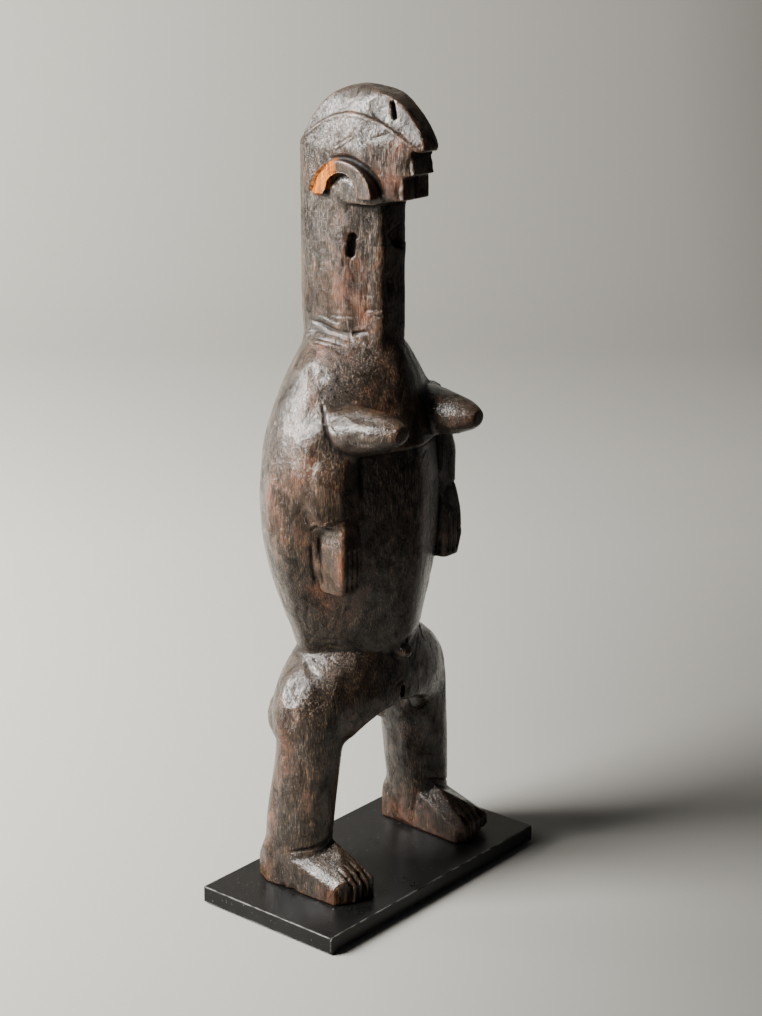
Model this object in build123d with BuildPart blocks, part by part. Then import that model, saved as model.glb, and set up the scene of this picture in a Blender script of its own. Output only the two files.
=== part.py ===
"""A standing carved wooden doll on a flat lacquered base, held by two steel pins.

Millimetres, +Z up. The figure faces -Y, its right side is towards -X.
The ground is z = 0, under four felt pads; the bounding box is centred on the origin.
"""
import os

from build123d import *

# ---- overall sizes -------------------------------------------------------
total_height = 380.0
base_width = 153.0  # along X
base_depth = 80.0  # along Y
base_thickness = 8.0
base_y = -3.5  # the carved back overhangs, so the plate sits slightly forward
edge_break = 0.3

# ---- felt pads -----------------------------------------------------------
pad_thickness = 1.0
pad_radius = 6.0
pad_inset = 12.0  # pad centre in from each edge

# ---- pins and their holes ------------------------------------------------
pin_radius = 1.5
pin_clearance = 0.05  # radial, figure's hole over pin
pin_above_base = 22.0
hole_extra_depth = 3.0

# ---- the figure ----------------------------------------------------------
figure_x = 3.5  # the carving stands a little off the plate's middle
body_y = 8.5  # front-to-back middle of torso and neck
sole_z = pad_thickness + base_thickness
leg_spread = 41.0  # leg axis out from the middle
leg_y = 5.5
leg_radius = 15.0

foot_inner = 31.5
foot_outer = 57.0
foot_heel_y = 25.5
foot_front_y = -31.5
foot_instep_z = 36.0
toe_top_z = 21.5
toe_count = 5
groove_width = 1.2
groove_depth = 3.5

hip_half_width = 56.0
hip_depth = 28.0
hip_y = 7.0
waist_z = 120.0
crotch_half_width = 25.5
crotch_rise = 14.0
crotch_z = 92.0

torso_half_width = 54.0
torso_front = 37.5
torso_back = 37.2
shoulder_z = 262.0
arm_proud = 1.4
arm_inner = 27.5
arm_face_y = -18.2
wrist_z = 188.0
hand_drop = 32.0
hand_width = 14.0

breast_z = 229.8
breast_root_y = -9.0
right_breast_spread = 30.0
left_breast_spread = 24.0
right_breast_lift = 3.8  # tip above root
left_breast_lift = 0.3
breast_root_radius = 12.2
breast_tip_radius = 5.0
breast_tip_y = -44.0

neck_half_width = 16.5
neck_half_depth = 22.4
neck_bevel = 8.0  # rear corners, and how far in the front facets reach
neck_facet = 17.0  # how far back the front facets reach
head_back = 2.0  # back of the head past the neck
chin_z = 331.0
slot_width = 3.6
slot_height = 11.5
slot_back = 9.3
slot_drop = 21.0
brow_y = -36.0
ear_outer = 18.0
ear_rise = 16.0
ear_inner = 9.5
ear_proud = 3.2


def oval(half_width, front, back, fullness):
    """Points of a closed cross-section: round behind, straighter-sided in front."""
    pts = [(half_width, 0.0)]
    for side in (1, -1):
        steps = (0.25, 0.5, 0.75) if side == 1 else (0.75, 0.5, 0.25)
        for t in steps:
            angle = 90.0 * t
            bulge = Vector(1, 0).rotate(Axis.Z, angle)
            pts.append((side * half_width * bulge.X, back * bulge.Y))
        pts.append((0.0, back) if side == 1 else (-half_width, 0.0))
    for side in (-1, 1):
        steps = (0.25, 0.5, 0.75) if side == -1 else (0.75, 0.5, 0.25)
        for t in steps:
            angle = 90.0 * t
            bulge = Vector(1, 0).rotate(Axis.Z, angle)
            x = bulge.X ** (2 / fullness)
            y = bulge.Y ** (2 / fullness)
            pts.append((side * half_width * x, -front * y))
        if side == -1:
            pts.append((0.0, -front))
    return pts


# share of the full width, front depth and back depth at each height of the torso
torso_rings = [
    (117.0, 0.60, 0.66, 0.60),
    (122.0, 0.66, 0.78, 0.63),
    (136.0, 0.765, 0.88, 0.71),
    (151.0, 0.865, 0.94, 0.83),
    (168.0, 0.95, 0.985, 0.95),
    (188.0, 0.99, 1.00, 1.00),
    (205.0, 0.985, 0.985, 1.00),
    (222.0, 0.92, 0.94, 0.96),
    (240.0, 0.80, 0.86, 0.83),
    (252.0, 0.665, 0.77, 0.73),
    (262.0, 0.49, 0.68, 0.66),
    (271.0, 0.30, 0.59, 0.58),
]
hip_rings = [
    (122.0, 0.60, 0.82),
    (114.0, 0.77, 0.90),
    (105.0, 0.92, 0.95),
    (95.0, 0.99, 0.96),
    (86.0, 1.00, 0.88),
    (77.0, 0.93, 0.56),
]

with BuildPart() as torso_core:
    for ring_z, w, f, b in torso_rings:
        ring = oval(w * torso_half_width, f * torso_front, b * torso_back, 1.45)
        with BuildSketch(Plane((figure_x, body_y, ring_z))):
            with BuildLine():
                Spline(ring, periodic=True)
            make_face()
    loft()

with BuildPart() as arms:
    for ring_z, w, f, b in torso_rings:
        ring = oval(
            w * torso_half_width + arm_proud,
            f * torso_front + arm_proud,
            b * torso_back + arm_proud,
            2.0,
        )
        with BuildSketch(Plane((figure_x, body_y, ring_z))):
            with BuildLine():
                Spline(ring, periodic=True)
            make_face()
    loft()
    # only the parts over the upper arm and forearm stay
    arm_top = shoulder_z - 22.0
    arm_width = torso_half_width + 6.0 - arm_inner
    arm_depth = body_y - 3.0 - arm_face_y
    with BuildSketch(Plane((figure_x, arm_face_y + arm_depth / 2, wrist_z))):
        with Locations(
            (arm_inner + arm_width / 2, 0),
            (-arm_inner - arm_width / 2, 0),
        ):
            Rectangle(arm_width, arm_depth)
    extrude(amount=arm_top - wrist_z, mode=Mode.INTERSECT)
    # the relief runs out slanting, behind the wrist and over the shoulder
    with BuildSketch(Plane.YZ.offset(-90.0)):
        with BuildLine():
            Polyline(
                (arm_face_y - 4, wrist_z),
                (body_y - 17, wrist_z),
                (body_y - 3, wrist_z + 26),
                (body_y - 3, arm_top - 12),
                (body_y - 15, arm_top),
                (arm_face_y - 4, arm_top),
                close=True,
            )
        make_face()
    extrude(amount=190.0, mode=Mode.INTERSECT)

with BuildPart() as hips:
    for ring_z, w, b in hip_rings:
        with BuildSketch(Plane((figure_x, hip_y, ring_z))):
            Ellipse(w * hip_half_width, b * hip_depth)
    loft()
    # buttocks
    for side in (-1, 1):
        with Locations(Location((figure_x + side * 26.0, hip_y + 12.5, 84.0))):
            Sphere(18.0)
    # the arch between the legs
    arch_top = crotch_z - crotch_rise
    with BuildSketch(Plane.XZ.offset(60.0)):
        with Locations((figure_x, arch_top)):
            Ellipse(crotch_half_width, crotch_rise)
        with Locations((figure_x, arch_top - 30.0)):
            Rectangle(2 * crotch_half_width, 60.0)
    extrude(amount=-140.0, mode=Mode.SUBTRACT)

with BuildPart() as legs:
    for side in (-1, 1):
        # height, distance out, radius, and how far the calf swells backwards
        swell = (0.0, 0.0, 4.5, 3.5) if side < 0 else (2.5, 3.0, 3.5, 1.5)
        rings = [
            (92.0, leg_spread - 3.5, leg_radius + 1.5, swell[0]),
            (66.0, leg_spread - 0.5, leg_radius + 0.5, swell[1]),
            (40.0, leg_spread + 2.0, leg_radius - 0.5, swell[2]),
            (sole_z + 2.0, leg_spread + 3.0, leg_radius - 1.8, swell[3]),
        ]
        for ring_z, out, radius, back in rings:
            ring_y = leg_y + back / 2
            with BuildSketch(Plane((figure_x + side * out, ring_y, ring_z))):
                Ellipse(0.96 * radius, 1.04 * radius + back / 2)
        loft()

single_feet = []
for side in (-1, 1):
    with BuildPart() as foot:
        # seen from above: a blunt wedge
        with BuildSketch(Plane.XY.offset(sole_z)):
            if side < 0:
                heel_y = foot_heel_y
                toes = ((-1.0, 7.0), (-9.5, 1.5))
            else:
                heel_y = foot_heel_y - 3.5
                toes = ((0.5, 6.0), (-3.5, 1.5))
            with BuildLine():
                Polyline(
                    (figure_x + side * (foot_inner + 2), heel_y),
                    (figure_x + side * (foot_outer - 4), heel_y),
                    (figure_x + side * foot_outer, heel_y - 8),
                    (figure_x + side * (foot_outer + toes[0][0]), foot_front_y + toes[0][1]),
                    (figure_x + side * (foot_outer + toes[1][0]), foot_front_y + toes[1][1]),
                    (figure_x + side * (foot_inner + 4), foot_front_y),
                    (figure_x + side * foot_inner, foot_front_y + 4),
                    close=True,
                )
            make_face()
        extrude(amount=foot_instep_z - sole_z)
        # seen from the side: high ankle, sloping instep, steep toes
        with BuildSketch(Plane.YZ.offset(-90.0)):
            with BuildLine():
                Polyline(
                    (foot_heel_y, sole_z),
                    (foot_heel_y, sole_z + 11),
                    (foot_heel_y - 5, foot_instep_z - 6),
                    (leg_y, foot_instep_z),
                    (leg_y - 13, foot_instep_z),
                    (leg_y - 20, foot_instep_z - 6.5),
                    (foot_front_y + 5, toe_top_z + 0.5),
                    (foot_front_y + 1, toe_top_z - 3.5),
                    (foot_front_y, sole_z),
                    close=True,
                )
            make_face()
        extrude(amount=190.0, mode=Mode.INTERSECT)
        # three long facets: outer edge, outer half of the instep, inner edge
        for near_heel, near_toes, inward in (
            (
                (foot_outer - 0.5, leg_y, sole_z + 16.5),
                (foot_outer - 3.0, foot_front_y + 9, sole_z + 11.5),
                (foot_outer - 4.0, leg_y, sole_z + 21.0),
            ),
            (
                (foot_outer - 5.0, leg_y - 3.5, sole_z + 20.0),
                (foot_outer - 7.0, foot_front_y + 5.5, sole_z + 13.0),
                (foot_outer - 19.0, leg_y - 15.0, sole_z + 23.7),
            ),
            (
                (foot_inner, leg_y - 2.0, sole_z + 21.0),
                (foot_inner + 1.0, foot_front_y + 5, sole_z + 8.5),
                (foot_inner + 4.0, leg_y - 2.0, sole_z + 25.5),
            ),
        ):
            a, b, c = (
                Vector(figure_x + side * out, y, z)
                for out, y, z in (near_heel, near_toes, inward)
            )
            up = (b - a).cross(c - a)
            if up.Z < 0:
                up = -up
            split(bisect_by=Plane(a, z_dir=up), keep=Keep.BOTTOM)
        # the left foot's outer toes are lifted clear of the ground
        if side > 0:
            a = Vector(figure_x + foot_inner + 2, foot_front_y - 1, sole_z)
            b = Vector(figure_x + foot_outer, foot_front_y - 1, sole_z + 5.5)
            c = Vector(figure_x + foot_outer, foot_front_y + 15, sole_z)
            down = (b - a).cross(c - a)
            if down.Z > 0:
                down = -down
            split(bisect_by=Plane(a, z_dir=down), keep=Keep.BOTTOM)
        # gaps between the toes
        pitch = (foot_outer - foot_inner - 6.0) / toe_count
        for n in range(1, toe_count):
            gap_x = figure_x + side * (foot_inner + 2.0 + n * pitch)
            with Locations(Location((gap_x, foot_front_y, sole_z + 8))):
                Box(groove_width, 2 * groove_depth + 6, 24.0, mode=Mode.SUBTRACT)
    single_feet.append(foot.part)

with BuildPart() as feet:
    for foot_part in single_feet:
        add(foot_part)

with BuildPart() as head:
    top = total_height
    # side view of neck, face and crested coiffure
    with BuildSketch(Plane.YZ.offset(figure_x - 30.0)):
        with BuildLine():
            back_line = Spline(
                (body_y + neck_half_depth + head_back, chin_z + 8),
                (body_y + 19.0, top - 23),
                (body_y + 12.8, top - 12.5),
                (body_y + 6.0, top - 4.6),
                (body_y - 7.0, top),
                (body_y - 18.0, top - 2.0),
                (brow_y + 18.0, top - 5.0),
                (brow_y + 11.5, top - 9.6),
                (brow_y + 6.3, top - 15.0),
                (brow_y + 2.8, top - 20.0),
                (brow_y + 1.0, top - 24.6),
            )
            Polyline(
                back_line @ 1,
                (brow_y + 1.4, top - 27.2),
                (brow_y + 7.2, top - 26.4),
                (brow_y + 5.4, top - 37.2),
                (brow_y + 10.0, top - 38.2),
                (brow_y + 9.6, chin_z + 0.5),
                (brow_y + 15.0, chin_z),
                (body_y - neck_half_depth, chin_z - 1.5),
                (body_y - neck_half_depth, shoulder_z - 4),
                (body_y + neck_half_depth - 2, shoulder_z - 4),
                back_line @ 0,
            )
        make_face()
    extrude(amount=60.0)
    # plan: rounded block, narrowing to the front of the face
    with BuildSketch(Plane.XY.offset(shoulder_z - 10)):
        with BuildLine():
            left = figure_x - neck_half_width
            right = figure_x + neck_half_width
            rear = body_y + neck_half_depth + head_back
            Polyline(
                (left + neck_bevel, rear),
                (left + neck_bevel * 0.3, rear - neck_bevel * 0.4),
                (left, rear - neck_bevel),
                (left, brow_y + 28.0),
                (figure_x - 9.0, brow_y + 10.0),
                (figure_x - 4.5, brow_y - 1.0),
                (figure_x + 4.5, brow_y - 1.0),
                (figure_x + 9.0, brow_y + 10.0),
                (right, brow_y + 28.0),
                (right, rear - neck_bevel),
                (right - neck_bevel * 0.3, rear - neck_bevel * 0.4),
                (right - neck_bevel, rear),
                close=True,
            )
        make_face()
    extrude(amount=top - shoulder_z + 20, mode=Mode.INTERSECT)
    # front view: crown rounded over from side to side
    with BuildSketch(Plane.XZ.offset(60.0)):
        with BuildLine():
            crown = Spline(
                (figure_x - neck_half_width - 0.5, top - 31),
                (figure_x - neck_half_width + 1.2, top - 19),
                (figure_x - neck_half_width + 4.5, top - 9),
                (figure_x - neck_half_width + 9.5, top - 2.6),
                (figure_x, top + 0.01),
                (figure_x + neck_half_width - 9.5, top - 2.6),
                (figure_x + neck_half_width - 4.5, top - 9),
                (figure_x + neck_half_width - 1.2, top - 19),
                (figure_x + neck_half_width + 0.5, top - 31),
            )
            Polyline(
                crown @ 1,
                (figure_x + neck_half_width + 0.5, shoulder_z - 12),
                (figure_x - neck_half_width - 0.5, shoulder_z - 12),
                crown @ 0,
            )
        make_face()
    extrude(amount=-140.0, mode=Mode.INTERSECT)
    # the crest narrows forward: one broad facet each side
    for side in (-1, 1):
        on_crest = Vector(figure_x + side * 5.0, brow_y + 12.0, top - 9.5)
        behind = Vector(figure_x + side * neck_half_width, body_y - 4.0, top - 11.0)
        on_temple = Vector(figure_x + side * 12.5, brow_y + 14.0, top - 29.0)
        outward = (on_temple - on_crest).cross(behind - on_crest) * side
        facet = Plane(on_crest, z_dir=outward)
        split(bisect_by=facet, keep=Keep.BOTTOM)
    # a long facet on each front corner of the neck
    with BuildSketch(Plane.XY.offset(chin_z - 80)):
        front = body_y - neck_half_depth
        for side in (-1, 1):
            with BuildLine():
                Polyline(
                    (figure_x + side * neck_half_width, front + neck_facet),
                    (figure_x + side * (neck_half_width - neck_bevel), front),
                    (figure_x + side * (neck_half_width - neck_bevel), front - 3),
                    (figure_x + side * (neck_half_width + 4), front - 3),
                    (figure_x + side * (neck_half_width + 4), front + neck_facet),
                    close=True,
                )
            make_face()
    extrude(amount=78.0, mode=Mode.SUBTRACT)
    # the slot cut in the right side of the neck, leaning a little
    slot_plane = Plane(
        (figure_x - neck_half_width + 5.0, body_y - slot_back, chin_z - slot_drop),
        x_dir=(0, 1, 0),
        z_dir=(-1, 0, 0),
    )
    with BuildSketch(slot_plane):
        SlotCenterToCenter(slot_height - slot_width, slot_width, rotation=82)
    extrude(amount=12.0, mode=Mode.SUBTRACT)

with BuildPart() as ears:
    for side in (-1, 1):
        face_x = figure_x + side * (neck_half_width - 2.0)
        ear_plane = Plane(
            (face_x, body_y - 7.0, chin_z + 1.0), x_dir=(0, 1, 0), z_dir=(side, 0, 0)
        )
        with BuildSketch(ear_plane):
            Ellipse(ear_outer, ear_rise)
            Circle(ear_inner, mode=Mode.SUBTRACT)
            with Locations((0, side * -30.0)):
                Rectangle(60.0, 60.0, mode=Mode.SUBTRACT)
        extrude(amount=ear_proud + 2.0)

with BuildPart() as breasts:
    for out, lift in (
        (-right_breast_spread, right_breast_lift),
        (left_breast_spread, left_breast_lift),
    ):
        root = Plane(
            (figure_x + out, breast_root_y, breast_z),
            x_dir=(1, 0, 0),
            z_dir=(0, -1, 0),
        )
        reach = breast_root_y - breast_tip_y
        rings = [
            (0.0, breast_root_radius),
            (0.35, breast_root_radius * 0.96),
            (0.68, breast_root_radius * 0.77),
            (0.9, breast_tip_radius * 1.25),
            (1.0, breast_tip_radius * 0.75),
        ]
        for share, radius in rings:
            with BuildSketch(root.offset(share * reach)):
                with Locations((0, lift * share)):
                    Ellipse(radius * 1.05, radius * 0.92)
        loft()

with BuildPart() as hands:
    for side in (-1, 1):
        hand_x = figure_x + side * 36.5
        rings = [
            (wrist_z - hand_drop, hand_width - 2.0, 15.0),
            (wrist_z - hand_drop + 10, hand_width + 1.0, 17.5),
            (wrist_z - 10, hand_width, 17.0),
            (wrist_z + 1.0, hand_width - 3.0, 14.0),
        ]
        for ring_z, across, along in rings:
            with BuildSketch(Plane((hand_x, -12.0, ring_z))):
                RectangleRounded(across, along, 3.0)
        loft(ruled=True)
        for n in (-1, 0, 1):
            at = (hand_x + n * 3.3, -20.5, wrist_z - hand_drop + 8)
            with Locations(Location(at)):
                Box(0.9, 3.6, 18.0, mode=Mode.SUBTRACT)

with BuildPart() as figure:
    add(torso_core.part)
    add(arms.part)
    add(hips.part)
    add(legs.part)
    add(feet.part)
    add(head.part)
    add(ears.part)
    add(breasts.part)
    add(hands.part)
    # navel
    with Locations(Location((figure_x, hip_y - hip_depth * 0.93, waist_z - 1.5))):
        Sphere(4.6)
    # slit below the belly
    with Locations(Location((figure_x, hip_y - hip_depth + 1.0, 95.0))):
        Box(2.0, 7.0, 11.0, mode=Mode.SUBTRACT)
    # pin holes up into the feet
    hole_depth = pin_above_base + hole_extra_depth
    with BuildSketch(Plane.XY.offset(sole_z)):
        with Locations(
            (figure_x - leg_spread - 2.0, leg_y),
            (figure_x + leg_spread + 2.0, leg_y),
        ):
            Circle(pin_radius + pin_clearance)
    extrude(amount=hole_depth, mode=Mode.SUBTRACT)

with BuildPart() as base_plate:
    with Locations(Location((0, base_y, pad_thickness + base_thickness / 2))):
        Box(base_width, base_depth, base_thickness)
    chamfer(base_plate.edges(), edge_break)
    with Locations(
        Location((figure_x - leg_spread - 2.0, leg_y, pad_thickness)),
        Location((figure_x + leg_spread + 2.0, leg_y, pad_thickness)),
    ):
        Cylinder(
            pin_radius,
            3 * base_thickness,
            mode=Mode.SUBTRACT,
        )

pins = {}
for name, side in (("right_foot_pin", -1), ("left_foot_pin", 1)):
    with BuildPart() as pin:
        with BuildSketch(Plane.XY.offset(pad_thickness)):
            with Locations((figure_x + side * (leg_spread + 2.0), leg_y)):
                Circle(pin_radius)
        extrude(amount=base_thickness + pin_above_base)
        chamfer(pin.edges().sort_by(Axis.Z)[-1], 0.4)
    pins[name] = pin

pads = {}
for fore, y_sign in (("front", -1), ("back", 1)):
    for hand, x_sign in (("right", -1), ("left", 1)):
        with BuildPart() as pad:
            with BuildSketch(Plane.XY):
                with Locations(
                    (
                        x_sign * (base_width / 2 - pad_inset),
                        base_y + y_sign * (base_depth / 2 - pad_inset),
                    )
                ):
                    Circle(pad_radius)
            extrude(amount=pad_thickness)
        pads["felt_pad_" + fore + "_" + hand] = pad

os.makedirs("parts", exist_ok=True)
figure.part.label = "figure"
export_step(figure.part, "parts/figure.step")
base_plate.part.label = "base_plate"
export_step(base_plate.part, "parts/base_plate.step")
for name, piece in {**pins, **pads}.items():
    piece.part.label = name
    export_step(piece.part, "parts/" + name + ".step")

print("figure", figure.part.bounding_box(), "volume", round(figure.part.volume))
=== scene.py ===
# %% [markdown]
# # A carved wooden doll on a lacquered base
#
# The real object is one block of hardwood, cut with an adze and finished with a knife.
# Years of handling and oiling turned the surface almost black, and rubbed ridges back to
# red-brown. It stands on two steel pins in a thin black lacquered plate.
#
# The frame holds the plain solids. This file turns the plain figure into a carved one:
# a dense skin is laid over the solid, then cut the way a carver cuts, in the same order.
# First the joins are eased, then flats are shaved, then lines are scored, and last come
# the break, the chips and the wear.

# %% Load the frame
import math

import bmesh
import bpy
import numpy as np
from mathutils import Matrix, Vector, kdtree


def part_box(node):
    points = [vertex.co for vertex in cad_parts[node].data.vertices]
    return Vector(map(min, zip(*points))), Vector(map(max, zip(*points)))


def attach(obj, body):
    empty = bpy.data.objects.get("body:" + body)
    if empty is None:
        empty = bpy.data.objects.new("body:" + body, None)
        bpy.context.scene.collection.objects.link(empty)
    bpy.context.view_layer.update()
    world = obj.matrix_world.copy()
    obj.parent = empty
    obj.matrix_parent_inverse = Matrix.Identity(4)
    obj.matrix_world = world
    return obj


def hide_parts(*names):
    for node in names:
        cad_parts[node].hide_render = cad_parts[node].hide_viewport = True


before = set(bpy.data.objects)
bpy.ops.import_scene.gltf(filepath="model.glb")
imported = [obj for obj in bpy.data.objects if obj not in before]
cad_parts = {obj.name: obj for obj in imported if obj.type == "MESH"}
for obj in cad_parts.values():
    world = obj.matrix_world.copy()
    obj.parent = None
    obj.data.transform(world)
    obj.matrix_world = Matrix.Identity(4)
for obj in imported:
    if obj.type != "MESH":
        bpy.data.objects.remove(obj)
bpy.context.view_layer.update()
print("nodes:", sorted(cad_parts))

# %% [markdown]
# ## Landmarks
#
# Everything below is in millimetres in the frame of the CAD model: +Z up, the figure faces
# -Y and its right side is towards -X. `MID` is the plane that halves the figure.

# %% Landmarks and two small curves
MM = 0.001  # metres in a millimetre
MID = 3.5
SOLE = 9.0  # height of the soles, which stand on the plate
LEG_OUT, LEG_Y = 43.0, 5.5  # a pin's place: out from the middle plane, and in y
BREASTS = ((MID - 30.0, 229.8), (MID + 25.5, 229.8))  # x and z of their middles
rng = np.random.default_rng(7)


def unit(v):
    v = np.asarray(v, float)
    return v / (np.linalg.norm(v, axis=-1, keepdims=True) + 1e-12)


def ramp(x, low, high):
    """0 below low, 1 above high, smooth between."""
    t = np.clip((x - low) / (high - low), 0.0, 1.0)
    return t * t * (3 - 2 * t)


print("middle plane at x =", MID, "mm, soles at z =", SOLE, "mm")

# %% [markdown]
# ## A dense skin over the figure
#
# A carved surface needs points everywhere, not only at the corners of the solid. The voxel
# remesh lays an even skin of small quads over a copy of the CAD figure. The CAD figure
# itself is not touched. Sculpting by hand would give points too, but not the same ones
# each time the file runs.

# %% Skin
def skin_over(node, name, voxel_mm):
    """A new object: an even skin of quads over a copy of one CAD node."""
    rough = bpy.data.objects.new(name + "_rough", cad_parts[node].data.copy())
    bpy.context.scene.collection.objects.link(rough)
    remesh = rough.modifiers.new("skin", "REMESH")
    remesh.mode = "VOXEL"
    remesh.voxel_size = voxel_mm * MM
    remesh.use_smooth_shade = True
    graph = bpy.context.evaluated_depsgraph_get()
    mesh = bpy.data.meshes.new_from_object(rough.evaluated_get(graph))
    mesh.name = name
    mesh.materials.clear()
    bpy.data.objects.remove(rough)
    skin = bpy.data.objects.new(name, mesh)
    bpy.context.scene.collection.objects.link(skin)
    return skin


SKIN = 0.62  # fine enough for a finger cut, which is about a millimetre wide
figure = skin_over("figure", "carved_figure", SKIN)
print("figure skin:", len(figure.data.vertices), "points")


# %% [markdown]
# The carving works on plain arrays: `P` holds the points, `E` the edges between them. Each
# tool below moves points and leaves the faces alone, so the skin stays closed.

# %% Points, normals and edges as arrays
def points_of(mesh):
    flat = np.empty(len(mesh.vertices) * 3, np.float32)
    mesh.vertices.foreach_get("co", flat)
    return flat.reshape(-1, 3).astype(float) / MM


def set_points(mesh, pts):
    mesh.vertices.foreach_set("co", (pts * MM).astype(np.float32).ravel())
    mesh.update()


def normals_of(mesh, pts):
    set_points(mesh, pts)
    flat = np.empty(len(mesh.vertices) * 3, np.float32)
    mesh.vertices.foreach_get("normal", flat)
    return flat.reshape(-1, 3).astype(float)


def edges_of(mesh):
    flat = np.empty(len(mesh.edges) * 2, np.int32)
    mesh.edges.foreach_get("vertices", flat)
    return flat.reshape(-1, 2)


def averaged(values, edges, count):
    """Each point's value replaced by the mean of its neighbours' values."""
    a, b = edges[:, 0], edges[:, 1]
    n = np.bincount(a, minlength=count) + np.bincount(b, minlength=count)
    columns = []
    for k in range(values.shape[1]):
        v = values[:, k]
        total = np.bincount(a, v[b], count) + np.bincount(b, v[a], count)
        columns.append(total / np.maximum(n, 1))
    return np.stack(columns, 1)


mesh = figure.data
P = points_of(mesh)
E = edges_of(mesh)
COUNT = len(P)
print("edges between them:", len(E))


# %% [markdown]
# ## Ease the joins
#
# Where the solids of the CAD model meet there is a hard inner corner. The carver's knife
# runs through such a corner and leaves a hollow a few millimetres wide. How far each place
# is eased is a number of passes: a few at fingers and toes, many at the shoulders and hips.

# %% Ease the joins
def passes_wanted(p):
    """How many times each point is averaged with its neighbours."""
    wide, y, z = np.abs(p[:, 0] - MID), p[:, 1], p[:, 2]

    def around(value, middle, half):
        return np.exp(-(((value - middle) / half) ** 2))

    zones = [np.full(len(p), 5.0)]
    arm_top = 200 * around(z, 242, 9) * (wide > 22) * (y > -16) * (y < 18)
    for bx, bz in BREASTS:
        away = np.hypot(p[:, 0] - bx, z - bz)
        arm_top *= ramp(away, 13, 16) + (y > -6)
        zones.append(26 * around(away, 13, 3.5) * (y > -26) * (y < 2))
    zones += [
        np.minimum(arm_top, 200),
        # back of the arm, its edge on the chest, wrist, elbow
        90 * around(y, 6, 5) * around(wide, 52, 9) * ramp(z, 184, 192) * (1 - ramp(z, 238, 246)),
        22 * (wide > 25) * (y < 3) * ramp(z, 188, 194) * (1 - ramp(z, 226, 236)),
        14 * around(z, 189, 4) * (wide > 24) * (y < 4),
        200 * ramp(y, -11, -7) * (z > 184) * (z < 222) * (wide > 38) * (y < 12),
        # foot of the neck, its long edges, crown
        70 * around(z, 266, 8),
        45 * (z > 268) * (z < 328) * (y < 22) * (y > -15),
        60 * (wide > 6.5) * (z > 364) * (y < 6) * (y > -16),
        # waist, seat, hips, crotch
        14 * around(z, 119, 5),
        60 * (y > 12) * around(z, 84, 18),
        70 * around(z, 80, 11) * (wide < 62),
        80 * around(z, 84, 10) * (wide < 30),
        # thigh, ankle, heel
        30 * around(z, 68, 6),
        7 * around(z, 37, 4),
        60 * around(z, 33, 7) * (y > 5),
    ]
    want = np.maximum.reduce(zones)
    # the slot in the neck, the navel and the ears stay crisp
    slot = (p[:, 0] < 0) & (np.abs(y + 0.8) < 4.2) & (np.abs(z - 310) < 8.5)
    want = np.where(slot, 2, want)
    near_navel = np.linalg.norm(p - np.array([MID, -19.0, 118.5]), axis=1) < 9
    want = np.where(near_navel, 5, want)
    ear = (wide > 12.6) & (z > 329) & (z < 352) & (y > -17) & (y < 24)
    return np.where(ear, 3, want)


# the skin in and round the two pin holes is held, so that the pins still fit
PIN_RIM, PIN_TOP = 3.2, 38.0
near_pin = np.hypot(np.abs(P[:, 0] - MID) - LEG_OUT, P[:, 1] - LEG_Y) < PIN_RIM
held = near_pin & (P[:, 2] < PIN_TOP)
want = passes_wanted(P)
most_passes = 200
for k in range(most_passes):
    step = 0.5 * (want > k) * ~held
    if not step.any():
        break
    P += step[:, None] * (averaged(P, E, COUNT) - P)
P[:, 2] = np.maximum(P[:, 2], SOLE)
print("eased:", k, "passes")

# %% [markdown]
# ## Knife and adze as functions
#
# `shave` cuts a flat: every point above a tilted plane, inside an oval patch, drops onto it.
# `score` draws the tip of a knife along a line that lies on the surface. `ease` rubs a place
# soft and `swell` pushes the surface out, or in, around a point. Boolean cutters could do
# some of this, but each would add hard rims that a carver's hand doesn't leave.

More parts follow.
